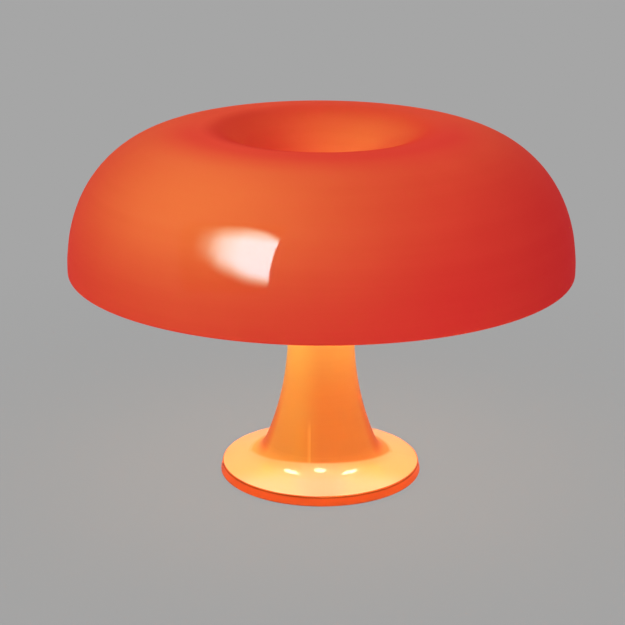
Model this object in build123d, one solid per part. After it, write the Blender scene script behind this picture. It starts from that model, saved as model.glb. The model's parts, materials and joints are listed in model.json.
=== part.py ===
from build123d import *
import math
import os

# A mushroom table lamp: a trumpet-shaped base, a head with four lampholders, four
# globe bulbs lying level, and a domed shade with a dimple that lifts off the head.
# Millimetres, Z up, origin on the table under the middle of the foot, front towards -Y.

# Base shell
foot_r = 65.4
band_height = 6.25
band_lean = 1.4
foot_slope_deg = 14.1
flare_r = 17.4
flare_end_deg = 67.6
taper_r = 190.0
stem_r = 21.4
stem_top = 143.8
base_wall = 3.0
band_round = 0.9
band_low_round = 0.4

# Underside of the foot
shell_lift = 0.8
cover_inset = 0.7
cover_t = 2.0
pad_r = 5.0
pad_edge = 3.7
pad_count = 4
pad_first_deg = 45.0
cover_screw_r = 1.9
cover_screw_head_r = 3.6
cover_screw_head_t = 1.8
cover_screw_bite = 2.8
cover_screw_ring_r = 39.0
cover_screw_count = 3
cover_screw_first_deg = 30.0
screw_slot_w = 0.8
screw_slot_deep = 0.7

# Ballast
ballast_disc_r = 48.0
ballast_disc_t = 3.0
ballast_top = 60.0
ballast_gap = 1.5
nut_recess_r = 11.5
nut_recess_deep = 11.5
seat_rib_r = 44.5
seat_rib_w = 3.0

# Tube with its nuts and washers
tube_r = 5.0
tube_bore_r = 3.5
tube_proud = 1.0
nut_flats = 17.0
nut_t = 4.0
washer_r = 10.0
washer_t = 1.0

# Cord inlet
inlet_bore_r = 2.2
grommet_wall = 0.7
grommet_lift = 0.4
flange_lip = 0.7
flange_t = 1.2
lug_w = 0.9
lug_t = 1.1
lug_height = 2.6
channel_length = 12.0
cord_slot_in_r = 34.0
cord_slot_side = 0.5
cord_slot_deep = 4.6

# Lamp head
deck_t = 3.0
head_wall = 2.4
spigot_length = 6.0
spigot_wall = 2.4
holder_rise = 20.0
neck_r = 20.0
neck_wall = 2.4
neck_height = 8.8
shoulder_t = 1.8
shoulder_over_holder = 2.2
carrier_wall = 2.4
carrier_top_t = 3.0

# Lampholders
holder_count = 4
first_holder_deg = -90.0
holder_r = 12.0
holder_in = 14.0
holder_length = 36.0
holder_back_t = 4.0
cavity_r = 9.2
cavity_length = 6.8
skirt_r = 10.6
skirt_length = 16.0
holder_flange_r = 13.6
holder_flange_t = 2.0
mouth_chamfer = 0.8
sleeve_r = 7.3
sleeve_wall = 0.6
sleeve_flange_r = 8.9
sleeve_flange_t = 0.8
sleeve_set_back = 2.0
contact_plate_r = 3.4
contact_plate_t = 0.8
contact_stud_r = 1.6
holder_screw_r = 1.4
holder_screw_head_r = 2.3
holder_screw_head_t = 1.6
holder_screw_side = 5.6
holder_screw_drop = 3.0

# Terminal block and leads
block_length = 18.0
block_width = 11.0
block_height = 11.0
block_screw_r = 1.5
block_screw_head_r = 2.8
block_screw_head_t = 1.8
block_screw_length = 9.0
lead_r = 0.9
lead_side = 3.6
lead_rise = 4.2
lead_tail = 5.0

# Bulbs
globe_r = 22.5
bulb_length = 78.0
glass_wall = 0.9
glass_neck_r = 7.0
cap_r = 6.9
cap_wall = 0.45
cap_length = 25.0
cap_nose = 1.6
thread_deep = 0.5
thread_pitch = 2.82
thread_turns = 6
thread_steps = 4
tip_r = 2.4
tip_length = 1.5
tip_flange_r = 4.4
tip_flange_t = 1.0
tip_plug_r = 3.0
glass_tail = 5.0

# Shade
shade_r = 160.0
shade_wall = 3.0
shade_height = 89.0
shade_power = 2.21
curve_steps = 16
crown_r = 75.2
dimple_depth = 37.2
dimple_drop = 59.2
dimple_throat_r = 24.0
dimple_round = 5.0
collar_wall = 2.7
collar_over_shoulder = 1.2
seat_ring_t = 1.0

# Clearances
running_gap = 0.3
fixed_fit = 0.05
drill_past = 1.0

# Heights that follow
shell_z = shell_lift
band_z = shell_z + band_height
cover_z = shell_z + cover_inset
cover_top_z = cover_z + cover_t
disc_top_z = cover_top_z + ballast_disc_t
recess_z = cover_top_z + nut_recess_deep
deck_z = stem_top + deck_t
holder_z = stem_top + holder_rise
shoulder_z = holder_z + holder_r + shoulder_over_holder
head_top_z = shoulder_z + neck_height
floor_under_z = head_top_z + seat_ring_t
floor_z = floor_under_z + shade_wall
crown_z = floor_z + dimple_depth
rim_z = crown_z - shade_height
tube_low_z = recess_z - washer_t - nut_t - tube_proud
tube_high_z = deck_z + washer_t + nut_t + tube_proud

# Radii and places that follow
foot_slope = math.radians(foot_slope_deg)
flare_end = math.radians(flare_end_deg)
band_top_r = foot_r - band_lean
foot_inner_r = band_top_r - base_wall
cover_r = foot_inner_r - running_gap
pad_ring_r = cover_r - pad_edge - pad_r
stem_inner_r = stem_r - base_wall
flare_end_r = stem_r + taper_r * (1 - math.sin(flare_end))
flare_start_r = flare_end_r + flare_r * (math.sin(flare_end) - math.sin(foot_slope))
flare_start_z = band_z + (band_top_r - flare_start_r) * math.tan(foot_slope)
flare_end_z = flare_start_z + flare_r * (math.cos(foot_slope) - math.cos(flare_end))
taper_top_z = flare_end_z + taper_r * math.cos(flare_end)
flare_centre = (
    flare_start_r + flare_r * math.sin(foot_slope),
    flare_start_z + flare_r * math.cos(foot_slope),
)
taper_centre = (stem_r + taper_r, taper_top_z)
grommet_r = inlet_bore_r + grommet_wall
inlet_z = grommet_lift + grommet_r
holder_out = holder_in + holder_length
cavity_in = holder_in + holder_back_t
sleeve_in = cavity_in + cavity_length
tip_in = sleeve_in - running_gap
cap_in = tip_in + tip_length + tip_flange_t
cap_out = cap_in + cap_length
globe_centre = tip_in + bulb_length - globe_r
lug_out = foot_inner_r - running_gap
lug_in = lug_out - lug_t
collar_r = neck_r + running_gap


# Shapes used again and again

def turned(edges):
    """A solid turned about the upright axis from a closed outline of radius and height."""
    return revolve(Plane.XZ * make_face(edges), Axis.Z)


def turned_level(edges):
    """A solid turned about the X axis from a closed outline of distance and radius."""
    return revolve(make_face(edges), Axis.X)


def outline(*points):
    """The edges of a closed outline with straight sides."""
    return Polyline(*points, close=True).edges()


def disc(radius, low, high):
    """An upright cylinder between two heights."""
    body = Cylinder(radius, high - low, align=(Align.CENTER, Align.CENTER, Align.MIN))
    return Pos(0, 0, low) * body


def ring(outer, inner, low, high):
    """An upright ring between two heights."""
    return disc(outer, low, high) - disc(inner, low, high)


def level_rod(radius, start, end):
    """A cylinder along the X axis between two distances."""
    body = Cylinder(radius, end - start, align=(Align.CENTER, Align.CENTER, Align.MIN))
    return Pos(start, 0, 0) * Rot(0, 90, 0) * body


def slab(x_span, y_span, z_span):
    """A box between two values on each axis."""
    size = [span[1] - span[0] for span in (x_span, y_span, z_span)]
    middle = [(span[1] + span[0]) / 2 for span in (x_span, y_span, z_span)]
    return Pos(*middle) * Box(*size)


def at_holder(shape, number):
    """A shape drawn along X from the lamp's axis, turned to lampholder 1 to 4."""
    bearing = first_holder_deg + 360 / holder_count * (number - 1)
    return Pos(0, 0, holder_z) * Rot(0, 0, bearing) * shape


def around(shape, radius, count, first_deg):
    """Copies of a shape spread evenly on a circle about the upright axis."""
    turns = [first_deg + 360 / count * step for step in range(count)]
    return [Rot(0, 0, turn) * Pos(radius, 0, 0) * shape for turn in turns]


def save(name, shape):
    """Write one sub-part."""
    export_step(shape, "parts/" + name + ".step")


# Base shell

def concave_point(centre, radius, slope):
    """The point of a hollow arc where the surface has the given slope."""
    return (centre[0] - radius * math.sin(slope), centre[1] - radius * math.cos(slope))


def concave_arc(centre, radius, start_slope, end_slope):
    """A hollow arc of the base between two slopes."""
    middle = (start_slope + end_slope) / 2
    points = [concave_point(centre, radius, slope) for slope in (start_slope, middle, end_slope)]
    return ThreePointArc(*points)


def taper_slope_at(inset, height):
    """The slope of the long taper, set in from the outside, at a height."""
    return math.acos((taper_centre[1] - height) / (taper_r + inset))


def foot_wall_middle_z(radius):
    """The height of the middle of the wall in the flare at a radius."""
    reach = flare_r + base_wall / 2
    return flare_centre[1] - math.sqrt(reach**2 - (flare_centre[0] - radius) ** 2)


def make_base_shell():
    """Foot, flare and stem in one thin moulding, open underneath."""
    upright = math.radians(90)
    outer_top = (stem_r, stem_top)
    outer_low = (stem_r, taper_top_z)
    outer_foot = concave_point(flare_centre, flare_r, foot_slope)
    inner_foot = concave_point(flare_centre, flare_r + base_wall, foot_slope)
    inner_low = (stem_inner_r, taper_top_z)
    inner_top = (stem_inner_r, stem_top)
    roof_z = inner_foot[1] - (foot_inner_r - inner_foot[0]) * math.tan(foot_slope)
    rim = FilletPolyline(
        outer_foot,
        (band_top_r, band_z),
        (foot_r, shell_z),
        (foot_inner_r, shell_z),
        radius=[band_round, band_low_round],
    )
    edges = [
        Line(outer_top, outer_low),
        concave_arc(taper_centre, taper_r, upright, flare_end),
        concave_arc(flare_centre, flare_r, flare_end, foot_slope),
        *rim.edges(),
        Line((foot_inner_r, shell_z), (foot_inner_r, roof_z)),
        Line((foot_inner_r, roof_z), inner_foot),
        concave_arc(flare_centre, flare_r + base_wall, foot_slope, flare_end),
        concave_arc(taper_centre, taper_r + base_wall, flare_end, upright),
        Line(inner_low, inner_top),
        Line(inner_top, outer_top),
    ]
    shell = turned(edges)
    rib_outer = seat_rib_r + seat_rib_w / 2
    rib_inner = seat_rib_r - seat_rib_w / 2
    shell = shell + ring(rib_outer, rib_inner, disc_top_z, foot_wall_middle_z(seat_rib_r))
    channel = inlet_block(grommet_r + fixed_fit, foot_r - channel_length, foot_r + flange_t, 0)
    return shell - channel


# Cord inlet

def inlet_block(half_width, start, end, low):
    """A block with a round top, along Y, centred on the cord's path."""
    body = slab((-half_width, half_width), (start, end), (low, inlet_z))
    dome = Cylinder(half_width, end - start, align=(Align.CENTER, Align.CENTER, Align.MIN))
    return body + Pos(0, start, inlet_z) * Rot(-90, 0, 0) * dome


def make_cord_grommet():
    """Soft grommet in the notch at the back of the foot, with the cord's hole."""
    flange_in = foot_r + fixed_fit
    flange_out = flange_in + flange_t
    body = inlet_block(grommet_r, lug_in, flange_out, grommet_lift)
    flange = inlet_block(grommet_r + flange_lip, flange_in, flange_out, grommet_lift)
    lug_half = grommet_r + lug_w
    lugs = slab((-lug_half, lug_half), (lug_in, lug_out), (grommet_lift, grommet_lift + lug_height))
    bore = Cylinder(inlet_bore_r, foot_r, align=(Align.CENTER, Align.CENTER, Align.MIN))
    bore = Pos(0, lug_in - flange_t, inlet_z) * Rot(-90, 0, 0) * bore
    return body + flange + lugs - bore


def cord_slot(low, high, start):
    """The straight way for the cord from the back of the foot to a radius."""
    half = inlet_bore_r + cord_slot_side
    return slab((-half, half), (start, foot_r), (low, high))


# Underside of the foot

def cover_screw_shape(extra):
    """A countersunk screw, or with extra its hole, standing on its head."""
    head_top = cover_z + cover_screw_head_t
    tip = cover_top_z + cover_screw_bite
    points = [
        (0, cover_z),
        (cover_screw_head_r + extra, cover_z),
        (cover_screw_r + extra, head_top),
        (cover_screw_r + extra, tip),
        (0, tip),
    ]
    return turned(outline(*points))


def around_cover(shape):
    """Copies of a cover screw or its hole in their places."""
    return around(shape, cover_screw_ring_r, cover_screw_count, cover_screw_first_deg)


def make_cover_screws():
    """Slotted countersunk screws that hold the cover to the ballast."""
    head = cover_screw_head_r
    slot = slab(
        (-head, head), (-screw_slot_w / 2, screw_slot_w / 2), (0, cover_z + screw_slot_deep)
    )
    screw = cover_screw_shape(0) - slot
    return Compound(around_cover(screw))


def make_base_cover():
    """Flat cover that closes the foot from below."""
    cover = disc(cover_r, cover_z, cover_top_z)
    lug_half = grommet_r + lug_w + running_gap
    cover = cover - cord_slot(0, cover_top_z, cord_slot_in_r)
    cover = cover - slab((-lug_half, lug_half), (lug_in - running_gap, foot_r), (0, cover_top_z))
    for hole in around_cover(cover_screw_shape(fixed_fit)):
        cover = cover - hole
    return cover


def make_foot_pads():
    """Rubber pads under the cover that the lamp stands on."""
    pad = disc(pad_r, 0, cover_z)
    return Compound(around(pad, pad_ring_r, pad_count, pad_first_deg))


def make_ballast():
    """Cast weight: a disc in the foot and a tapering plug up the stem."""
    inset = base_wall + ballast_gap
    low_slope = flare_end
    top_slope = taper_slope_at(inset, ballast_top)
    plug_low = concave_point(taper_centre, taper_r + inset, low_slope)
    plug_top = concave_point(taper_centre, taper_r + inset, top_slope)
    hole_r = tube_r + fixed_fit
    straight = Polyline(
        plug_top,
        (hole_r, ballast_top),
        (hole_r, recess_z),
        (nut_recess_r, recess_z),
        (nut_recess_r, cover_top_z),
        (ballast_disc_r, cover_top_z),
        (ballast_disc_r, disc_top_z),
        (plug_low[0], disc_top_z),
        plug_low,
    )
    curve = concave_arc(taper_centre, taper_r + inset, low_slope, top_slope)
    body = turned([*straight.edges(), curve])
    body = body - cord_slot(cover_top_z, cover_top_z + cord_slot_deep, 0)
    for hole in around_cover(cover_screw_shape(fixed_fit)):
        body = body - hole
    return body


# Tube and its fasteners

def make_centre_tube():
    """Threaded tube from the ballast to the head, hollow for the cord."""
    return ring(tube_r, tube_bore_r, tube_low_z, tube_high_z)


def make_tube_nuts():
    """The nut under the ballast and the nut on the head's deck."""
    hexagon = extrude(RegularPolygon(nut_flats / 2, 6, major_radius=False), nut_t)
    nut = hexagon - disc(tube_r + fixed_fit, 0, nut_t)
    low = Pos(0, 0, recess_z - washer_t - nut_t) * nut
    high = Pos(0, 0, deck_z + washer_t) * nut
    return Compound([low, high])


def make_tube_washers():
    """A washer against the ballast and one on the head's deck."""
    hole_r = tube_r + fixed_fit
    low = ring(washer_r, hole_r, recess_z - washer_t, recess_z)
    high = ring(washer_r, hole_r, deck_z, deck_z + washer_t)
    return Compound([low, high])


# Lamp head

def holder_drillings(face_in, face_out):
    """Level holes for two screws and two leads of one lampholder, past both faces of a wall."""
    length_in = face_in - drill_past
    length_out = face_out + drill_past
    drillings = []
    for side in (-1, 1):
        screw_hole = level_rod(holder_screw_r + fixed_fit, length_in, length_out)
        lead_hole = level_rod(lead_r + fixed_fit, length_in, length_out)
        drillings.append(Pos(0, side * holder_screw_side, -holder_screw_drop) * screw_hole)
        drillings.append(Pos(0, side * lead_side, lead_rise) * lead_hole)
    return drillings


def make_head():
    """Carrier on the stem: a spigot, a deck, a square core, a round wall and a neck."""
    spigot_r = stem_inner_r - fixed_fit
    carrier_top = shoulder_z - shoulder_t
    core_top = holder_z + holder_r
    core_in = holder_in - carrier_wall
    head = disc(stem_r, stem_top, deck_z)
    head = head + ring(spigot_r, spigot_r - spigot_wall, stem_top - spigot_length, stem_top)
    head = head + ring(stem_r, stem_r - head_wall, deck_z, shoulder_z)
    head = head + ring(stem_r, neck_r - neck_wall, carrier_top, shoulder_z)
    head = head + ring(neck_r, neck_r - neck_wall, shoulder_z, head_top_z)
    core = slab((-holder_in, holder_in), (-holder_in, holder_in), (deck_z, core_top))
    room_top = core_top - carrier_top_t
    core = core - slab((-core_in, core_in), (-core_in, core_in), (deck_z, room_top))
    head = head + (core & disc(stem_r, deck_z, core_top))
    head = head - disc(tube_r + fixed_fit, stem_top - spigot_length, deck_z)
    head = head - disc(block_screw_r + fixed_fit, room_top, core_top)
    for number in range(1, holder_count + 1):
        window = level_rod(holder_r + running_gap, holder_in, stem_r + base_wall)
        head = head - at_holder(window, number)
        for drilling in holder_drillings(core_in, holder_in):
            head = head - at_holder(drilling, number)
    return head


# Lampholders

def make_holder():
    """Lampholder housing along X: back wall, wiring space, flange and skirt."""
    step = holder_out - skirt_length
    flange_in = stem_r + running_gap
    flange_out = flange_in + holder_flange_t
    bore_r = sleeve_r + sleeve_wall + fixed_fit
    points = [
        (holder_in, 0),
        (holder_in, holder_r),
        (flange_in, holder_r),
        (flange_in, holder_flange_r),
        (flange_out, holder_flange_r),
        (flange_out, holder_r),
        (step, holder_r),
        (step + mouth_chamfer, skirt_r),
        (holder_out - mouth_chamfer, skirt_r),
        (holder_out, skirt_r - mouth_chamfer),
        (holder_out, bore_r + mouth_chamfer),
        (holder_out - mouth_chamfer, bore_r),
        (sleeve_in, bore_r),
        (sleeve_in, cavity_r),
        (cavity_in, cavity_r),
        (cavity_in, 0),
    ]
    body = turned_level(outline(*points))
    for drilling in holder_drillings(holder_in, cavity_in):
        body = body - drilling
    return body


def make_holder_sleeve():
    """Brass sleeve inside the housing, with a flange against its step."""
    outer = sleeve_r + sleeve_wall
    end = holder_out - sleeve_set_back
    flange = sleeve_in - sleeve_flange_t
    points = [
        (flange, sleeve_r),
        (end, sleeve_r),
        (end, outer),
        (sleeve_in, outer),
        (sleeve_in, sleeve_flange_r),
        (flange, sleeve_flange_r),
    ]
    return turned_level(outline(*points))


def make_holder_contact():
    """Centre contact: a plate on the back wall and a stud towards the bulb's tip."""
    plate_out = cavity_in + contact_plate_t
    stud_out = tip_in - running_gap
    points = [
        (cavity_in, 0),
        (cavity_in, contact_plate_r),
        (plate_out, contact_plate_r),
        (plate_out, contact_stud_r),
        (stud_out, contact_stud_r),
        (stud_out, 0),
    ]
    return turned_level(outline(*points))


def make_holder_screws():
    """Two pan-head screws through the back wall of each lampholder into the core."""
    tip = holder_in - carrier_wall
    shank = level_rod(holder_screw_r, tip, cavity_in)
    head = level_rod(holder_screw_head_r, cavity_in, cavity_in + holder_screw_head_t)
    screw = shank + head
    screws = []
    for number in range(1, holder_count + 1):
        for side in (-1, 1):
            placed = Pos(0, side * holder_screw_side, -holder_screw_drop) * screw
            screws.append(at_holder(placed, number))
    return Compound(screws)


# Terminal block and leads

def block_top_z():
    """The underside of the core's top plate, where the block hangs."""
    return holder_z + holder_r - carrier_top_t


def make_terminal_block():
    """Terminal block held up against the core's top plate."""
    top = block_top_z()
    x_span = (-block_length / 2, block_length / 2)
    y_span = (-block_width / 2, block_width / 2)
    block = slab(x_span, y_span, (top - block_height, top))
    screw_way = block_screw_length - carrier_top_t
    return block - disc(block_screw_r + fixed_fit, top - screw_way - fixed_fit, top)


def make_terminal_screw():
    """Screw down through the top plate into the terminal block."""
    seat = block_top_z() + carrier_top_t
    shank = disc(block_screw_r, seat - block_screw_length, seat)
    return shank + disc(block_screw_head_r, seat, seat + block_screw_head_t)


def make_leads():
    """Two short straight leads from the terminal block into each lampholder."""
    leads = []
    for number in range(1, holder_count + 1):
        sideways = number % 2 == 0
        start = block_length / 2 if sideways else block_width / 2
        for side in (-1, 1):
            lead = level_rod(lead_r, start, cavity_in + lead_tail)
            leads.append(at_holder(Pos(0, side * lead_side, lead_rise) * lead, number))
    return Compound(leads)


# Bulbs

def make_bulb_cap():
    """Thin screw cap with a rolled thread and a plain collar at the glass."""
    root = cap_r - thread_deep
    thread_in = cap_in + cap_nose + cap_wall
    thread_out = thread_in + thread_pitch * thread_turns
    inner_r = root - cap_wall
    middle = cap_r - thread_deep / 2
    wave = []
    for step in range(thread_steps * thread_turns + 1):
        turn = step / thread_steps
        swing = math.cos(2 * math.pi * turn)
        wave.append((thread_in + thread_pitch * turn, middle - thread_deep / 2 * swing))
    thread = Spline(*wave, tangents=((1, 0), (1, 0)))
    plain = Polyline(
        (thread_out, root),
        (thread_out + cap_wall, cap_r),
        (cap_out, cap_r),
        (cap_out, inner_r),
        (cap_in + cap_nose, inner_r),
        (cap_in + cap_wall, inner_r - cap_nose),
        (cap_in + cap_wall, tip_plug_r),
        (cap_in, tip_plug_r),
        (cap_in, root - cap_nose),
        (cap_in + cap_nose, root),
        (thread_in, root),
    )
    return turned_level([thread, *plain.edges()])


def make_bulb_tip():
    """Insulator and centre contact at the end of the screw cap."""
    button_out = tip_in + tip_length
    plug_out = cap_in + cap_nose
    points = [
        (tip_in, 0),
        (tip_in, tip_r - tip_length / 2),
        (tip_in + tip_length / 2, tip_r),
        (button_out, tip_r),
        (button_out, tip_flange_r),
        (cap_in, tip_flange_r),
        (cap_in, tip_plug_r - fixed_fit),
        (plug_out, tip_plug_r - fixed_fit),
        (plug_out, 0),
    ]
    return turned_level(outline(*points))


def make_bulb_glass():
    """Frosted globe: a ball that runs into a short neck set in the screw cap."""
    span = globe_centre - cap_out
    blend = (span**2 + glass_neck_r**2 - globe_r**2) / (2 * (globe_r - glass_neck_r))
    blend_centre = (cap_out, glass_neck_r + blend)
    lean = math.atan2(blend_centre[1], span)

    def ball_point(radius, angle):
        return (globe_centre - radius * math.cos(angle), radius * math.sin(angle))

    def blend_point(radius, angle):
        across = blend_centre[0] + radius * math.sin(angle)
        return (across, blend_centre[1] - radius * math.cos(angle))

    inner_ball_r = globe_r - glass_wall
    inner_blend = blend + glass_wall
    blend_end = math.radians(90) - lean
    inner_start = math.asin(glass_wall / inner_blend)
    inner_middle = (inner_start + blend_end) / 2
    ball_middle = (math.pi + lean) / 2
    neck_r = cap_r - thread_deep - cap_wall - fixed_fit
    neck_in_r = neck_r - glass_wall
    neck_start = cap_out - glass_tail
    inner_neck = blend_point(inner_blend, inner_start)
    edges = [
        Line((neck_start, neck_r), (cap_out, neck_r)),
        Line((cap_out, neck_r), (cap_out, glass_neck_r)),
        ThreePointArc(
            (cap_out, glass_neck_r),
            blend_point(blend, blend_end / 2),
            ball_point(globe_r, lean),
        ),
        ThreePointArc(
            ball_point(globe_r, lean),
            ball_point(globe_r, ball_middle),
            (globe_centre + globe_r, 0),
        ),
        Line((globe_centre + globe_r, 0), (globe_centre + inner_ball_r, 0)),
        ThreePointArc(
            (globe_centre + inner_ball_r, 0),
            ball_point(inner_ball_r, ball_middle),
            ball_point(inner_ball_r, lean),
        ),
        ThreePointArc(
            ball_point(inner_ball_r, lean),
            blend_point(inner_blend, inner_middle),
            inner_neck,
        ),
        Line(inner_neck, (inner_neck[0], neck_in_r)),
        Line((inner_neck[0], neck_in_r), (neck_start, neck_in_r)),
        Line((neck_start, neck_in_r), (neck_start, neck_r)),
    ]
    return turned_level(edges)


# Shade

def bulge(centre, reach, rise, power, start, end):
    """A smooth quarter bulge, or part of one, about a centre; power 2 makes an ellipse."""
    points = []
    for step in range(curve_steps + 1):
        angle = start + (end - start) * step / curve_steps
        across = max(math.cos(angle), 0) ** (2 / power)
        up = max(math.sin(angle), 0) ** (2 / power)
        points.append((centre[0] + reach * across, centre[1] + rise * up))
    way = math.copysign(1, end - start)
    start_way = (-way * reach * math.sin(start), way * rise * math.cos(start))
    end_way = (-way * reach * math.sin(end), way * rise * math.cos(end))
    return Spline(*points, tangents=(start_way, end_way))


def dimple_curve(wall, height):
    """The dimple's side from a height up to the crown, set under the surface by a wall."""
    rise = dimple_drop - wall
    low = math.asin((height - crown_z + dimple_drop) / rise)
    centre = (crown_r, crown_z - dimple_drop)
    reach = dimple_throat_r - crown_r + wall
    return bulge(centre, reach, rise, 2, low, math.pi / 2)


def make_shade():
    """Domed shade with a dimple, and a collar under the dimple's floor."""
    rim_round = shade_wall / 2
    rim_mid_z = rim_z + rim_round
    centre = (crown_r, rim_mid_z)
    reach = shade_r - crown_r
    rise = crown_z - rim_mid_z
    quarter = math.pi / 2
    dimple = dimple_curve(0, floor_z)
    under = dimple_curve(shade_wall, floor_under_z)
    outside = bulge(centre, reach, rise, shade_power, quarter, 0)
    inside = bulge(centre, reach - shade_wall, rise - shade_wall, shade_power, 0, quarter)
    rim = ThreePointArc(
        (shade_r, rim_mid_z), (shade_r - rim_round, rim_z), (shade_r - shade_wall, rim_mid_z)
    )
    collar_low = shoulder_z + collar_over_shoulder
    floor = Polyline(
        under @ 0,
        (collar_r + collar_wall, floor_under_z),
        (collar_r + collar_wall, collar_low),
        (collar_r, collar_low),
        (collar_r, floor_under_z),
        (0, floor_under_z),
        (0, floor_z),
        dimple @ 0,
    )
    face = make_face([dimple, outside, rim, inside, under, *floor.edges()])
    corner = face.vertices().sort_by_distance(dimple @ 0)[0]
    face = fillet(corner, dimple_round)
    return revolve(Plane.XZ * face, Axis.Z)


def make_seat_ring():
    """Soft ring under the shade's floor that rests on the head's neck."""
    return ring(neck_r, neck_r - neck_wall, head_top_z, floor_under_z)


# Write every sub-part

os.makedirs("parts", exist_ok=True)
save("base_shell", make_base_shell())
save("ballast", make_ballast())
save("base_cover", make_base_cover())
save("foot_pads", make_foot_pads())
save("cover_screws", make_cover_screws())
save("cord_grommet", make_cord_grommet())
save("centre_tube", make_centre_tube())
save("tube_nuts", make_tube_nuts())
save("tube_washers", make_tube_washers())
save("head", make_head())
save("holder_screws", make_holder_screws())
save("terminal_block", make_terminal_block())
save("terminal_screw", make_terminal_screw())
save("leads", make_leads())
repeated = {
    "holder": make_holder(),
    "holder_sleeve": make_holder_sleeve(),
    "holder_contact": make_holder_contact(),
    "bulb_cap": make_bulb_cap(),
    "bulb_tip": make_bulb_tip(),
    "bulb_glass": make_bulb_glass(),
}
for base_name, shape in repeated.items():
    for number in range(1, holder_count + 1):
        save(base_name + "_" + str(number), at_holder(shape, number))
save("shade", make_shade())
save("seat_ring", make_seat_ring())
print("crown", crown_z, "rim", rim_z, "head top", head_top_z, "taper top", taper_top_z)
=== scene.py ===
import json
import math

import bpy
from mathutils import Matrix, Vector


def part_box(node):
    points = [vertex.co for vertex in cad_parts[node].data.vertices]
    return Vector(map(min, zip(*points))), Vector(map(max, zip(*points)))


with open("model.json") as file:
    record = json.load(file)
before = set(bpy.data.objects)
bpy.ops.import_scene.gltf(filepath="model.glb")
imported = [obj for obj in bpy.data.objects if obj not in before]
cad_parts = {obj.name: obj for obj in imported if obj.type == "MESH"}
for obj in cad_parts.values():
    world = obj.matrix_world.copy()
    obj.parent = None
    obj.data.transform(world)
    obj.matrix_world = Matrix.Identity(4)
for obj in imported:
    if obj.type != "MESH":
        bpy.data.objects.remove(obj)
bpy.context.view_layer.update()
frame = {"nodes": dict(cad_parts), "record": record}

# A lit mushroom table lamp on a plain floor. Metres, Z up, front towards -Y.
# A fade is four numbers: two ends of a range, and what a value becomes at each.

nodes = frame["nodes"]
shade_low, shade_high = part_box("shade")
shade_middle_z = (shade_low.z + shade_high.z) / 2
_, shell_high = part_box("base_shell")
foot_r = shell_high.x


def colour(red, green, blue):
    return (red, green, blue, 1.0)


def grey(level):
    return colour(level, level, level)


# Node helpers

FULL = (0.0, 1.0)
NOISE_MIDDLE = (0.3, 0.7)


def empty_material(name):
    """A material with only its output."""
    material = bpy.data.materials.new(name)
    material.use_nodes = True
    tree = material.node_tree
    tree.nodes.clear()
    return material, tree, tree.nodes.new("ShaderNodeOutputMaterial")


def new_material(name):
    """A material with only its Principled shader and output."""
    material, tree, output = empty_material(name)
    shader = tree.nodes.new("ShaderNodeBsdfPrincipled")
    tree.links.new(shader.outputs["BSDF"], output.inputs["Surface"])
    return material, tree, shader


def set_values(shader, values):
    """Plain values on a shader's own sockets."""
    for name, value in values.items():
        shader.inputs[name].default_value = value


def object_coords(tree, scale=(1, 1, 1)):
    """Object coordinates in metres, stretched by a scale."""
    coords = tree.nodes.new("ShaderNodeTexCoord")
    mapping = tree.nodes.new("ShaderNodeMapping")
    mapping.inputs["Scale"].default_value = scale
    tree.links.new(coords.outputs["Object"], mapping.inputs["Vector"])
    return mapping.outputs["Vector"]


def separate(tree, vector):
    """The X, Y and Z sockets of a vector."""
    node = tree.nodes.new("ShaderNodeSeparateXYZ")
    tree.links.new(vector, node.inputs["Vector"])
    return node.outputs


def place(tree, axis):
    """How far a point is to the right (X), to the back (Y) or up (Z), in metres."""
    return separate(tree, object_coords(tree))[axis]


def facing(tree, axis):
    """How much the surface faces along X, Y or Z, from -1 to 1."""
    coords = tree.nodes.new("ShaderNodeTexCoord")
    return separate(tree, coords.outputs["Normal"])[axis]


def length(tree, vector):
    """A vector's length."""
    node = tree.nodes.new("ShaderNodeVectorMath")
    node.operation = "LENGTH"
    tree.links.new(vector, node.inputs[0])
    return node.outputs["Value"]


def radius_from_axis(tree):
    """How far a point is from the lamp's upright axis, in metres."""
    return length(tree, object_coords(tree, (1.0, 1.0, 0.0)))


def noise(tree, vector, scale, detail=2.0, rough=0.5):
    """Noise between 0 and 1."""
    node = tree.nodes.new("ShaderNodeTexNoise")
    node.inputs["Scale"].default_value = scale
    node.inputs["Detail"].default_value = detail
    node.inputs["Roughness"].default_value = rough
    tree.links.new(vector, node.inputs["Vector"])
    return node.outputs["Fac"]


def remap(tree, value, low, high, to_low, to_high, smooth=False):
    """A value carried from one range to another and kept inside it."""
    node = tree.nodes.new("ShaderNodeMapRange")
    node.interpolation_type = "SMOOTHSTEP" if smooth else "LINEAR"
    names = ("From Min", "From Max", "To Min", "To Max")
    for name, number in zip(names, (low, high, to_low, to_high)):
        node.inputs[name].default_value = number
    tree.links.new(value, node.inputs["Value"])
    return node.outputs["Result"]


def fade(tree, value, numbers):
    """A smooth fade of a value."""
    return remap(tree, value, *numbers, smooth=True)


def combine(tree, operation, first, second):
    """A math node on two sockets or numbers."""
    node = tree.nodes.new("ShaderNodeMath")
    node.operation = operation
    for socket, value in zip(node.inputs, (first, second)):
        if isinstance(value, (int, float)):
            socket.default_value = value
        else:
            tree.links.new(value, socket)
    return node.outputs["Value"]


def product(tree, first, *others):
    """Sockets or numbers multiplied together."""
    for other in others:
        first = combine(tree, "MULTIPLY", first, other)
    return first


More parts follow.
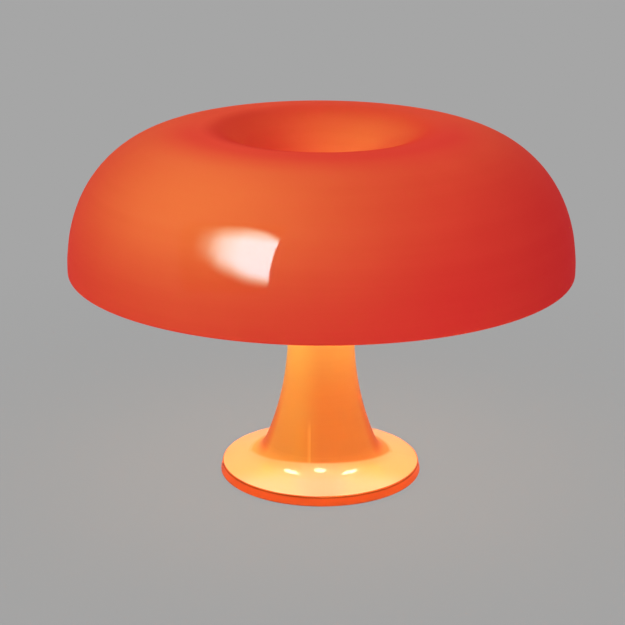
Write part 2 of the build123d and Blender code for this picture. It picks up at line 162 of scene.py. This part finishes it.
def blend_colours(tree, factor, first, second):
    """Two colours mixed by a factor; each is a colour or a socket."""
    node = tree.nodes.new("ShaderNodeMix")
    node.data_type = "RGBA"
    tree.links.new(factor, node.inputs["Factor"])
    for name, value in (("A", first), ("B", second)):
        socket = [s for s in node.inputs if s.name == name and s.type == "RGBA"][0]
        if isinstance(value, tuple):
            socket.default_value = value
        else:
            tree.links.new(value, socket)
    return [s for s in node.outputs if s.type == "RGBA"][0]


def scale_colour(tree, tint, factor):
    """A colour made darker or lighter by a factor."""
    node = tree.nodes.new("ShaderNodeVectorMath")
    node.operation = "SCALE"
    tree.links.new(tint, node.inputs[0])
    tree.links.new(factor, node.inputs["Scale"])
    return node.outputs["Vector"]


def bump(tree, shader, height, strength, distance):
    """Bump on a shader from a height."""
    node = tree.nodes.new("ShaderNodeBump")
    node.inputs["Strength"].default_value = strength
    node.inputs["Distance"].default_value = distance
    tree.links.new(height, node.inputs["Height"])
    tree.links.new(node.outputs["Normal"], shader.inputs["Normal"])


# The glossy plastic that the shade and the base share. Both link their own Coat Weight.

GLOSS_COAT = {
    "IOR": 1.5,
    "Specular IOR Level": 0.0,
    "Coat Roughness": 0.04,
    "Coat IOR": 1.5,
    "Coat Tint": colour(1.0, 0.96, 0.95),
}
CLOUD_SHARE = 0.7
STREAK_STRETCH = (3.0, 3.0, 160.0)
STREAK_MIDDLE = (0.35, 0.65)
HANDLING_MIDDLE = (0.35, 0.75)
PEEL_SHARE = 0.12
SWELL_STRETCH = (1.0, 1.0, 4.0)


def cloudy(tree, coords):
    """Slow clouds and faint level streaks, as in a moulded translucent wall, from 0 to 1."""
    cloud = fade(tree, noise(tree, coords, scale=9.0, detail=3.0, rough=0.55), (*NOISE_MIDDLE, *FULL))
    streaks = noise(tree, object_coords(tree, STREAK_STRETCH), scale=1.0, detail=3.0, rough=0.6)
    streaks = remap(tree, streaks, *STREAK_MIDDLE, *FULL)
    return combine(
        tree, "ADD", product(tree, cloud, CLOUD_SHARE), product(tree, streaks, 1.0 - CLOUD_SHARE)
    )


def glossy_surface(tree, shader, coords, rough):
    """Handling marks in the gloss, a trace of orange peel and a very shallow swell."""
    handling = noise(tree, coords, scale=55.0, detail=4.0, rough=0.65)
    tree.links.new(remap(tree, handling, *HANDLING_MIDDLE, *rough), shader.inputs["Roughness"])
    peel = noise(tree, coords, scale=700.0)
    swell = noise(tree, object_coords(tree, SWELL_STRETCH), scale=28.0)
    height = combine(tree, "ADD", product(tree, peel, PEEL_SHARE), swell)
    bump(tree, shader, height, strength=0.18, distance=0.0006)


# The shade

CROWN_R = 0.0752
SHADE_GLOW = 0.63
SHADE_BODY = (colour(0.38, 0.235, 0.032), colour(0.41, 0.262, 0.040))
SHADE_LIGHT = (colour(0.96, 0.014, 0.026), colour(1.0, 0.022, 0.030))
# Painted shade: the glow and the body colour darken towards the shade's right side.
GLOW_SHADE_TO_RIGHT = (0.06, 0.165, 1.0, 0.78)
BODY_SHADE_TO_RIGHT = (0.095, 0.165, 1.0, 0.30)
# Painted shade: the body colour is darker low on the shade.
BODY_SHADE_BELOW = (0.150, 0.200, 0.78, 1.0)
# Painted shade: a darker colour on the ring around the dimple at the top, strongest at the front.
CROWN_INNER = (0.052, 0.068, 0.0, 1.0)
CROWN_OUTER = (0.080, 0.112, 1.0, 0.0)
CROWN_BACKWARDS = (-0.04, 0.04, 1.0, 0.40)
CROWN_PAINTED_SHADE = colour(0.33, 0.118, 0.020)
# Painted shade: the body colour and the glow are darker on the dimple's left wall.
VALLEY_OUTWARDS = (0.062, 0.078, 1.0, 0.0)
VALLEY_TO_RIGHT = (-0.06, 0.0, 1.0, 0.0)
VALLEY_SHADE_ON_GLOW = (0.0, 1.0, 1.0, 0.84)
VALLEY_SHADE_ON_BODY = (0.0, 1.0, 1.0, 0.60)
# Painted light: the shade's inside has a paler copy of the plastic's colour and its own glow, for the
# bulbs' light on it.
INSIDE_LIT_BODY = colour(0.86, 0.50, 0.17)
INSIDE_LIGHT = colour(1.0, 0.42, 0.12)
SHADE_ROUGH = (0.38, 0.46)
SHADE_COAT = (0.060, 0.078, 0.015, 0.08)
SHADE_COAT_IOR = 2.5


def outer_side(tree):
    """One on the shade's outside and in its dimple, nought on its inside."""
    # The outside faces away from a ring within the wall's curve, of radius CROWN_R and half way up.
    radius = radius_from_axis(tree)
    outward = combine(
        tree,
        "DIVIDE",
        combine(
            tree,
            "ADD",
            product(tree, place(tree, "X"), facing(tree, "X")),
            product(tree, place(tree, "Y"), facing(tree, "Y")),
        ),
        radius,
    )
    level = product(tree, outward, combine(tree, "SUBTRACT", radius, CROWN_R))
    rise = combine(tree, "SUBTRACT", place(tree, "Z"), shade_middle_z)
    upright = product(tree, facing(tree, "Z"), rise)
    return combine(tree, "GREATER_THAN", combine(tree, "ADD", level, upright), 0.0)


def lit_shade_plastic():
    """Glossy translucent plastic: a deep red painted glow outside where the light comes through it,
    painted shade to the right, low down, on the top and in the dimple, and a paler lit inside.
    """
    material, tree, shader = new_material("lit_shade_plastic")
    coords = object_coords(tree)
    clouds = cloudy(tree, coords)
    radius = radius_from_axis(tree)
    right = place(tree, "X")
    body = blend_colours(tree, clouds, *SHADE_BODY)
    # Painted shade: darker towards the right side.
    body = scale_colour(tree, body, fade(tree, right, BODY_SHADE_TO_RIGHT))
    # Painted shade: darker low on the shade.
    body = scale_colour(tree, body, fade(tree, place(tree, "Z"), BODY_SHADE_BELOW))
    light = blend_colours(tree, clouds, *SHADE_LIGHT)
    # Painted shade on the glow: dimmer towards the right side.
    light = scale_colour(tree, light, fade(tree, right, GLOW_SHADE_TO_RIGHT))
    # Painted shade on the ring around the dimple at the top, strongest at the front.
    crown = product(
        tree,
        fade(tree, radius, CROWN_INNER),
        fade(tree, radius, CROWN_OUTER),
        fade(tree, place(tree, "Y"), CROWN_BACKWARDS),
    )
    body = blend_colours(tree, crown, body, CROWN_PAINTED_SHADE)
    # Painted shade: darker colour and glow on the dimple's left wall.
    valley = product(tree, fade(tree, radius, VALLEY_OUTWARDS), fade(tree, right, VALLEY_TO_RIGHT))
    body = scale_colour(tree, body, remap(tree, valley, *VALLEY_SHADE_ON_BODY))
    light = scale_colour(tree, light, remap(tree, valley, *VALLEY_SHADE_ON_GLOW))
    outside = outer_side(tree)
    # Painted light on the inside: a paler colour and a more orange glow than outside.
    tree.links.new(blend_colours(tree, outside, INSIDE_LIT_BODY, body), shader.inputs["Base Color"])
    tree.links.new(
        blend_colours(tree, outside, INSIDE_LIGHT, light), shader.inputs["Emission Color"]
    )
    glossy_surface(tree, shader, coords, SHADE_ROUGH)
    set_values(shader, {**GLOSS_COAT, "Coat IOR": SHADE_COAT_IOR, "Emission Strength": SHADE_GLOW})
    tree.links.new(fade(tree, radius, SHADE_COAT), shader.inputs["Coat Weight"])
    return material


# The base

BASE_GLOW = 1.0
STEM_BODY = (colour(0.40, 0.173, 0.052), colour(0.43, 0.197, 0.060))
# Painted reflection: a paler streak low on the front of the stem, ending at a sharp upright edge.
REFLECTION_EDGE_X = -0.0064
STREAK_REFLECTION_COLOUR = colour(0.52, 0.30, 0.09)
REFLECTION_UP_TO = (REFLECTION_EDGE_X - 0.0028, REFLECTION_EDGE_X - 0.0002, 0.0, 1.0)
REFLECTION_PAST = (REFLECTION_EDGE_X - 0.0002, REFLECTION_EDGE_X + 0.0002, 1.0, 0.0)
REFLECTION_UPWARDS = (0.034, 0.046, 1.0, 0.0)
# Painted light: the stem is lighter on its left, fading out near the streak's edge.
STEM_LEFT_PAINTED_LIGHT = colour(0.42, 0.250, 0.073)
STEM_LEFT_LIGHT_TO_RIGHT = (REFLECTION_EDGE_X - 0.009, REFLECTION_EDGE_X + 0.008, 1.0, 0.0)
# Painted light: the foot's top is paler and yellower for the bulbs' light on it, and bluer at the
# front, a painted reflection of the shade's lit inside.
FOOT_TOP_PAINTED_LIGHT = (colour(0.68, 0.352, 0.185), colour(0.68, 0.375, 0.37))
FOOT_BACKWARDS = (-0.052, -0.026, 1.0, 0.0)
LEVEL_AT_FRONT = (-1.0, 0.0, 0.385, 0.0)
LEVEL_FACING = (0.90, 0.98, 0.0, 1.0)
# Painted shade: darker in the fold between flare and foot at the base's left and right.
CREASE_PAINTED_SHADE = colour(0.40, 0.105, 0.022)
CREASE_SIDEWAYS = (0.78, 0.98, 0.0, 0.8)
CREASE_LOWEST = (0.10, 0.35, 0.0, 1.0)
CREASE_HIGHEST = (0.52, 0.88, 1.0, 0.0)
BAND_DEPTH = 0.0032
# Painted light: the band has its own copy of the plastic's colour, redder than the stem's, for the
# different light that falls on it.
BAND_LIT_COLOUR = colour(0.84, 0.17, 0.050)
# Painted shade: a dark line along the rounded edge between the foot's top and its band.
EDGE_PAINTED_SHADE = colour(0.42, 0.085, 0.02)
EDGE_UPWARDS = (0.0054, 0.0062, 0.0, 1.0)
EDGE_FACING = (0.86, 0.94, 1.0, 0.0)
# Painted light: the base glows faintly red, and greener and brighter on the upper stem, for the
# bulbs' light falling on it.
BASE_LIGHT = (colour(0.05, 0.004, 0.001), colour(0.04, 0.080, 0.015))
BASE_LIGHT_UPWARDS = (0.055, 0.095, 0.0, 1.0)
BASE_ROUGH = (0.30, 0.40)
BASE_COAT = (0.0, 1.0, 0.35, 1.0)
BASE_COAT_ROUGHNESS = 0.10


def level_foot(tree):
    """One on the nearly level top of the foot, nought on the flare and stem."""
    # At the front it reaches further up the flare, where the painted reflection of the shade's lit
    # inside reaches.
    backward = combine(tree, "DIVIDE", place(tree, "Y"), radius_from_axis(tree))
    front = remap(tree, backward, *LEVEL_AT_FRONT)
    return fade(tree, combine(tree, "ADD", facing(tree, "Z"), front), LEVEL_FACING)


def outermost(tree):
    """One on the outermost ring of the foot."""
    return combine(tree, "GREATER_THAN", radius_from_axis(tree), foot_r - BAND_DEPTH)


def foot_edge(tree):
    """One along the rounded edge between the foot's top and its band."""
    rising = fade(tree, place(tree, "Z"), EDGE_UPWARDS)
    return product(tree, rising, fade(tree, facing(tree, "Z"), EDGE_FACING), outermost(tree))


def crease(tree):
    """Most in the fold between flare and foot at the base's left and right."""
    sideways = combine(tree, "DIVIDE", place(tree, "X"), radius_from_axis(tree))
    up = facing(tree, "Z")
    return product(
        tree,
        fade(tree, product(tree, sideways, sideways), CREASE_SIDEWAYS),
        product(tree, fade(tree, up, CREASE_LOWEST), fade(tree, up, CREASE_HIGHEST)),
    )


def stem_reflection_streak(tree):
    """One on a pale streak of painted reflection low on the front of the stem, ending in a sharp
    upright edge.
    """
    right = place(tree, "X")
    across = product(tree, fade(tree, right, REFLECTION_UP_TO), remap(tree, right, *REFLECTION_PAST))
    low = fade(tree, place(tree, "Z"), REFLECTION_UPWARDS)
    front = combine(tree, "LESS_THAN", place(tree, "Y"), 0.0)
    return product(tree, across, product(tree, low, front))


def lit_base_plastic():
    """The base's glossy orange plastic, with a little light coming through it and painted light and
    shade on its stem and foot.
    """
    material, tree, shader = new_material("lit_base_plastic")
    coords = object_coords(tree)
    level = level_foot(tree)
    body = blend_colours(tree, cloudy(tree, coords), *STEM_BODY)
    # Painted light: lighter on the stem's left.
    body = blend_colours(tree, fade(tree, place(tree, "X"), STEM_LEFT_LIGHT_TO_RIGHT), body, STEM_LEFT_PAINTED_LIGHT)
    # Painted reflection: the paler streak low on the stem's front.
    body = blend_colours(tree, stem_reflection_streak(tree), body, STREAK_REFLECTION_COLOUR)
    # Painted light and painted reflection on the foot's top.
    foot = blend_colours(tree, fade(tree, place(tree, "Y"), FOOT_BACKWARDS), *FOOT_TOP_PAINTED_LIGHT)
    body = blend_colours(tree, level, body, foot)
    # Painted shade in the folds.
    body = blend_colours(tree, crease(tree), body, CREASE_PAINTED_SHADE)
    # Painted light: the band's own lit colour.
    band = product(tree, outermost(tree), combine(tree, "SUBTRACT", 1.0, level))
    body = blend_colours(tree, band, body, BAND_LIT_COLOUR)
    # Painted shade along the foot's edge.
    body = blend_colours(tree, foot_edge(tree), body, EDGE_PAINTED_SHADE)
    # Painted light: the upper stem's glow.
    upper = fade(tree, place(tree, "Z"), BASE_LIGHT_UPWARDS)
    tree.links.new(body, shader.inputs["Base Color"])
    tree.links.new(blend_colours(tree, upper, *BASE_LIGHT), shader.inputs["Emission Color"])
    glossy_surface(tree, shader, coords, BASE_ROUGH)
    values = {"Coat Roughness": BASE_COAT_ROUGHNESS, "Emission Strength": BASE_GLOW}
    set_values(shader, {**GLOSS_COAT, **values})
    tree.links.new(remap(tree, level, *BASE_COAT), shader.inputs["Coat Weight"])
    return material


# The bulbs. The camera sees only a small share of the glow with which they light the lamp.

BULB_GLOW = 24.0
BULB_SEEN = 0.028
BULB_BODY = (colour(0.42, 0.39, 0.33), colour(0.48, 0.45, 0.39))
BULB_LIGHT = (colour(1.0, 0.82, 0.55), colour(1.0, 0.86, 0.60))


def frosted_glow(name):
    """Frosted bulb glass lit from inside."""
    material, tree, shader = new_material(name)
    frost = noise(tree, object_coords(tree), scale=400.0, detail=3.0, rough=0.6)
    frost = remap(tree, frost, *NOISE_MIDDLE, *FULL)
    tree.links.new(blend_colours(tree, frost, *BULB_BODY), shader.inputs["Base Color"])
    path = tree.nodes.new("ShaderNodeLightPath")
    seen = remap(tree, path.outputs["Is Camera Ray"], *FULL, 1.0, BULB_SEEN)
    light = scale_colour(tree, blend_colours(tree, frost, *BULB_LIGHT), seen)
    tree.links.new(light, shader.inputs["Emission Color"])
    bump(tree, shader, frost, strength=0.1, distance=0.0001)
    set_values(shader, {"Emission Strength": BULB_GLOW, "Roughness": 0.4})
    return material


# The hidden parts

WORN_MIDDLE = (0.12, 0.4)


def moulded_plastic(name, pale, dark, rough, grain):
    """Satin moulded plastic with a fine grain and slight mottling."""
    material, tree, shader = new_material(name)
    coords = object_coords(tree)
    mottle = noise(tree, coords, scale=60.0, detail=4.0, rough=0.6)
    mottle = remap(tree, mottle, *NOISE_MIDDLE, *FULL)
    tree.links.new(blend_colours(tree, mottle, dark, pale), shader.inputs["Base Color"])
    wear = noise(tree, coords, scale=160.0, detail=3.0, rough=0.6)
    tree.links.new(remap(tree, wear, *NOISE_MIDDLE, *rough), shader.inputs["Roughness"])
    bump(tree, shader, noise(tree, coords, scale=grain), strength=0.25, distance=0.0002)
    return material


def sheet_metal(name, pale, dark, rough, stretch):
    """Bare metal with drawn or brushed lines and faint tarnish."""
    material, tree, shader = new_material(name)
    lines = noise(tree, object_coords(tree, stretch), scale=1.0, detail=3.0, rough=0.6)
    tarnish = noise(tree, object_coords(tree), scale=90.0, detail=4.0, rough=0.6)
    worn = remap(tree, product(tree, lines, tarnish), *WORN_MIDDLE, *FULL)
    tree.links.new(blend_colours(tree, worn, dark, pale), shader.inputs["Base Color"])
    tree.links.new(remap(tree, lines, *NOISE_MIDDLE, *rough), shader.inputs["Roughness"])
    bump(tree, shader, lines, strength=0.15, distance=0.0001)
    set_values(shader, {"Metallic": 1.0})
    return material


slot_materials = {
    "shade_plastic": lit_shade_plastic(),
    "base_plastic": lit_base_plastic(),
    "bulb_glass": frosted_glow("frosted_bulb_glass"),
    "head_plastic": moulded_plastic(
        "ivory_heatproof_plastic",
        pale=colour(0.80, 0.76, 0.66),
        dark=colour(0.74, 0.70, 0.60),
        rough=(0.35, 0.5),
        grain=900.0,
    ),
    "holder_body": moulded_plastic(
        "ivory_thermoset",
        pale=colour(0.76, 0.72, 0.62),
        dark=colour(0.70, 0.66, 0.57),
        rough=(0.28, 0.42),
        grain=600.0,
    ),
    "brass": sheet_metal(
        "drawn_brass",
        pale=colour(0.83, 0.61, 0.26),
        dark=colour(0.60, 0.41, 0.15),
        rough=(0.22, 0.36),
        stretch=(90, 90, 400),
    ),
    "nickel": sheet_metal(
        "nickel_sheet",
        pale=colour(0.74, 0.72, 0.68),
        dark=colour(0.52, 0.50, 0.46),
        rough=(0.18, 0.3),
        stretch=(120, 120, 120),
    ),
    "insulator": moulded_plastic(
        "dark_vitrite",
        pale=colour(0.03, 0.03, 0.035),
        dark=colour(0.015, 0.015, 0.02),
        rough=(0.12, 0.25),
        grain=500.0,
    ),
    "zinc_steel": sheet_metal(
        "zinc_steel",
        pale=colour(0.60, 0.61, 0.62),
        dark=colour(0.42, 0.42, 0.42),
        rough=(0.28, 0.45),
        stretch=(60, 60, 300),
    ),
    "cast_iron": sheet_metal(
        "cast_iron",
        pale=colour(0.17, 0.165, 0.16),
        dark=colour(0.07, 0.065, 0.06),
        rough=(0.55, 0.8),
        stretch=(300, 300, 300),
    ),
    "cover_plastic": moulded_plastic(
        "black_cover_plastic", pale=grey(0.028), dark=grey(0.018), rough=(0.45, 0.6), grain=1400.0
    ),
    "rubber": moulded_plastic(
        "matt_rubber", pale=grey(0.03), dark=grey(0.02), rough=(0.7, 0.88), grain=1200.0
    ),
    "seat_silicone": moulded_plastic(
        "pale_silicone",
        pale=colour(0.7, 0.68, 0.63),
        dark=colour(0.62, 0.6, 0.55),
        rough=(0.5, 0.65),
        grain=900.0,
    ),
    "terminal_plastic": moulded_plastic(
        "terminal_polyamide",
        pale=colour(0.78, 0.77, 0.72),
        dark=colour(0.7, 0.69, 0.64),
        rough=(0.35, 0.5),
        grain=800.0,
    ),
    "lead_sheath": moulded_plastic(
        "silicone_sheath",
        pale=colour(0.7, 0.66, 0.58),
        dark=colour(0.6, 0.57, 0.5),
        rough=(0.45, 0.6),
        grain=1000.0,
    ),
}
slot_of = {part["node"]: part["material_slot"] for part in frame["record"]["subparts"]}
for node_name, node in nodes.items():
    for material_slot in node.material_slots:
        material_slot.material = slot_materials[slot_of[node_name]]


# Floor and world

FLOOR_GREY = 0.381
FLOOR_ALBEDO = 0.28
FLOOR_PLAIN = 0.94
FLOOR_HALF = 8.0
FLOOR_NEAR = 0.1
FLOOR_FAR = 0.6
WORLD_TINT = colour(1.0, 0.98, 0.95)
WORLD_STRENGTH = 0.09


def seen_directly(tree):
    """One where the ray comes from the camera, a mirror surface or glass."""
    path = tree.nodes.new("ShaderNodeLightPath")
    most = combine(tree, "MAXIMUM", path.outputs["Is Camera Ray"], path.outputs["Is Glossy Ray"])
    return combine(tree, "MAXIMUM", most, path.outputs["Is Transmission Ray"])


def mix_shaders(tree, share, first, second, output):
    """Two shader sockets mixed by a share and led to an output."""
    mix = tree.nodes.new("ShaderNodeMixShader")
    tree.links.new(share, mix.inputs["Fac"])
    tree.links.new(first, mix.inputs[1])
    tree.links.new(second, mix.inputs[2])
    tree.links.new(mix.outputs["Shader"], output.inputs["Surface"])


def floor_material():
    """Matt floor: mostly a plain grey to the camera, and it keeps soft shadows."""
    material, tree, output = empty_material("plain_floor")
    matt = tree.nodes.new("ShaderNodeBsdfDiffuse")
    matt.inputs["Color"].default_value = grey(FLOOR_ALBEDO)
    plain = tree.nodes.new("ShaderNodeEmission")
    plain.inputs["Color"].default_value = grey(FLOOR_GREY)
    coords = tree.nodes.new("ShaderNodeTexCoord")
    reach = length(tree, coords.outputs["Object"])
    plainness = fade(tree, reach, (FLOOR_NEAR, FLOOR_FAR, FLOOR_PLAIN, 1.0))
    share = product(tree, seen_directly(tree), plainness)
    mix_shaders(tree, share, matt.outputs["BSDF"], plain.outputs["Emission"], output)
    return material


def make_floor():
    """A large square floor under the lamp."""
    half = FLOOR_HALF
    mesh = bpy.data.meshes.new("floor")
    corners = [(-half, -half, 0), (half, -half, 0), (half, half, 0), (-half, half, 0)]
    mesh.from_pydata(corners, [], [(0, 1, 2, 3)])
    mesh.materials.append(floor_material())
    floor = bpy.data.objects.new("floor", mesh)
    bpy.context.scene.collection.objects.link(floor)


def make_world():
    """Dim even light, seen as the same plain grey as the floor."""
    world = bpy.data.worlds.new("studio")
    world.use_nodes = True
    tree = world.node_tree
    tree.nodes.clear()
    output = tree.nodes.new("ShaderNodeOutputWorld")
    light = tree.nodes.new("ShaderNodeBackground")
    set_values(light, {"Color": WORLD_TINT, "Strength": WORLD_STRENGTH})
    plain = tree.nodes.new("ShaderNodeBackground")
    plain.inputs["Color"].default_value = grey(FLOOR_GREY)
    shown = (light.outputs["Background"], plain.outputs["Background"])
    mix_shaders(tree, seen_directly(tree), *shown, output)
    bpy.context.scene.world = world


# Lights

SHADE_MIDDLE = Vector((0, 0, shade_middle_z))
SPOT_SOFTNESS = 0.03


def direction(bearing_deg, rise_deg):
    """From the lamp towards a light: bearing from the front, to the right, and rise."""
    bearing, rise = math.radians(bearing_deg), math.radians(rise_deg)
    level = math.cos(rise)
    return Vector((math.sin(bearing) * level, -math.cos(bearing) * level, math.sin(rise)))


def add_light(name, data, location, aim):
    """A light at a place, turned to face another, seen by matt surfaces only."""
    light = bpy.data.objects.new(name, data)
    light.location = location
    light.rotation_mode = "QUATERNION"
    light.rotation_quaternion = (location - aim).to_track_quat("Z", "Y")
    light.visible_glossy = False
    light.visible_camera = False
    bpy.context.scene.collection.objects.link(light)


def spot_light(name, location, aim, angle_deg, power):
    """A soft-edged spot."""
    data = bpy.data.lights.new(name, "SPOT")
    data.spot_size = math.radians(angle_deg)
    data.spot_blend = 1.0
    data.shadow_soft_size = SPOT_SOFTNESS
    data.energy = power
    add_light(name, data, location, aim)


def area_light(name, bearing_deg, rise_deg, distance, size, power):
    """A soft white rectangle of light that faces the shade."""
    data = bpy.data.lights.new(name, "AREA")
    data.shape = "RECTANGLE"
    data.size, data.size_y = size
    data.energy = power
    away = direction(bearing_deg, rise_deg)
    add_light(name, data, SHADE_MIDDLE + away * distance, SHADE_MIDDLE)


# The softbox. Its corners are bearings and rises in degrees, each with its place on the face,
# and its fades run over that place.

SOFTBOX_DISTANCE = 1.3
SOFTBOX_CORNERS = (
    ((-56.4, 0.8), (0, 0)),
    ((-22.0, 9.1), (1, 0)),
    ((-23.6, 61.0), (1, 1)),
    ((-79.0, 40.5), (0, 1)),
)
SOFTBOX_GLOW = 50.0
SOFTBOX_TINT = (colour(0.45, 0.95, 0.57), colour(0.55, 0.93, 1.0))
SOFTBOX_ACROSS = (0.17, 0.66, 0.0, 1.0)
SOFTBOX_SLANT = 0.55
SOFTBOX_SLANTED = (0.44, 0.74, 0.0, 1.0)
SOFTBOX_BOTTOM = (0.02, 0.25, 0.0, 1.0)
SOFTBOX_TOP = (0.65, 0.94, 1.0, 0.0)
SOFTBOX_STEEPNESS = 1.67
SOFTBOX_CORNER = (2.08, 2.31, 1.0, 0.0)


def softbox_material():
    """The softbox's face: it fades to the left, the bottom, the top and the top right corner."""
    material, tree, output = empty_material("softbox_face")
    glow = tree.nodes.new("ShaderNodeEmission")
    uv = tree.nodes.new("ShaderNodeUVMap")
    on_face = separate(tree, uv.outputs["UV"])
    across, up = on_face["X"], on_face["Y"]
    slanted = combine(tree, "ADD", up, product(tree, across, SOFTBOX_SLANT))
    steep = combine(tree, "ADD", product(tree, up, SOFTBOX_STEEPNESS), across)
    lower = product(tree, fade(tree, slanted, SOFTBOX_SLANTED), fade(tree, up, SOFTBOX_BOTTOM))
    upper = product(tree, remap(tree, up, *SOFTBOX_TOP), fade(tree, steep, SOFTBOX_CORNER))
    share = product(tree, fade(tree, across, SOFTBOX_ACROSS), lower, upper)
    tree.links.new(blend_colours(tree, share, *SOFTBOX_TINT), glow.inputs["Color"])
    tree.links.new(product(tree, share, SOFTBOX_GLOW), glow.inputs["Strength"])
    tree.links.new(glow.outputs["Emission"], output.inputs["Surface"])
    return material


def make_softbox():
    """A softbox at the front left that only shows as a reflection on the shade."""
    points = [SHADE_MIDDLE + direction(*way) * SOFTBOX_DISTANCE for way, _ in SOFTBOX_CORNERS]
    mesh = bpy.data.meshes.new("softbox")
    mesh.from_pydata(points, [], [(0, 1, 2, 3)])
    uv = mesh.uv_layers.new(name="UVMap")
    for loop, (_, on_face) in zip(uv.data, SOFTBOX_CORNERS):
        loop.uv = on_face
    mesh.materials.append(softbox_material())
    card = bpy.data.objects.new("softbox", mesh)
    bpy.context.scene.collection.objects.link(card)
    card.visible_camera = False
    card.visible_diffuse = False
    card.visible_shadow = False
    card.visible_transmission = False
    lit = bpy.data.collections.new("lit_by_softbox")
    lit.objects.link(nodes["shade"])
    card.light_linking.receiver_collection = lit


make_floor()
make_world()
make_softbox()
area_light(
    "key", bearing_deg=-33.5, rise_deg=28.0, distance=0.300, size=(0.12, 0.05), power=0.095
)
area_light("back", bearing_deg=180, rise_deg=30, distance=0.9, size=(0.6, 0.6), power=0.9)
spot_light(
    "dimple",
    location=Vector((-0.20, -0.20, 0.55)),
    aim=Vector((0.022, 0.030, 0.203)),
    angle_deg=9,
    power=2.3,
)


# Camera

CAMERA_TARGET = Vector((0, 0, 0.1108))
CAMERA_DISTANCE = 1.15
CAMERA_RISE_DEG = 17.65
CAMERA_ROLL_DEG = 0.30
CLIP_START = 0.01
FOCAL_PX = 1794.6
IMAGE_PX = 625
SENSOR_MM = 36.0
SHIFT_RIGHT_PX = 8.74
SHIFT_UP_PX = 5.27


def make_camera():
    """A camera at the photograph's viewing angle, with its slight roll and shift."""
    data = bpy.data.cameras.new("camera")
    data.sensor_width = SENSOR_MM
    data.lens = FOCAL_PX / IMAGE_PX * SENSOR_MM
    data.shift_x = -SHIFT_RIGHT_PX / IMAGE_PX
    data.shift_y = -SHIFT_UP_PX / IMAGE_PX
    data.clip_start = CLIP_START
    camera = bpy.data.objects.new("camera", data)
    back = direction(0, CAMERA_RISE_DEG)
    turn = back.to_track_quat("Z", "Y").to_matrix()
    roll = Matrix.Rotation(math.radians(CAMERA_ROLL_DEG), 3, "Z")
    location = CAMERA_TARGET + back * CAMERA_DISTANCE
    camera.matrix_world = Matrix.LocRotScale(location, turn @ roll, None)
    bpy.context.scene.collection.objects.link(camera)
    bpy.context.scene.camera = camera


make_camera()
bpy.context.scene.view_settings.view_transform = "Standard"
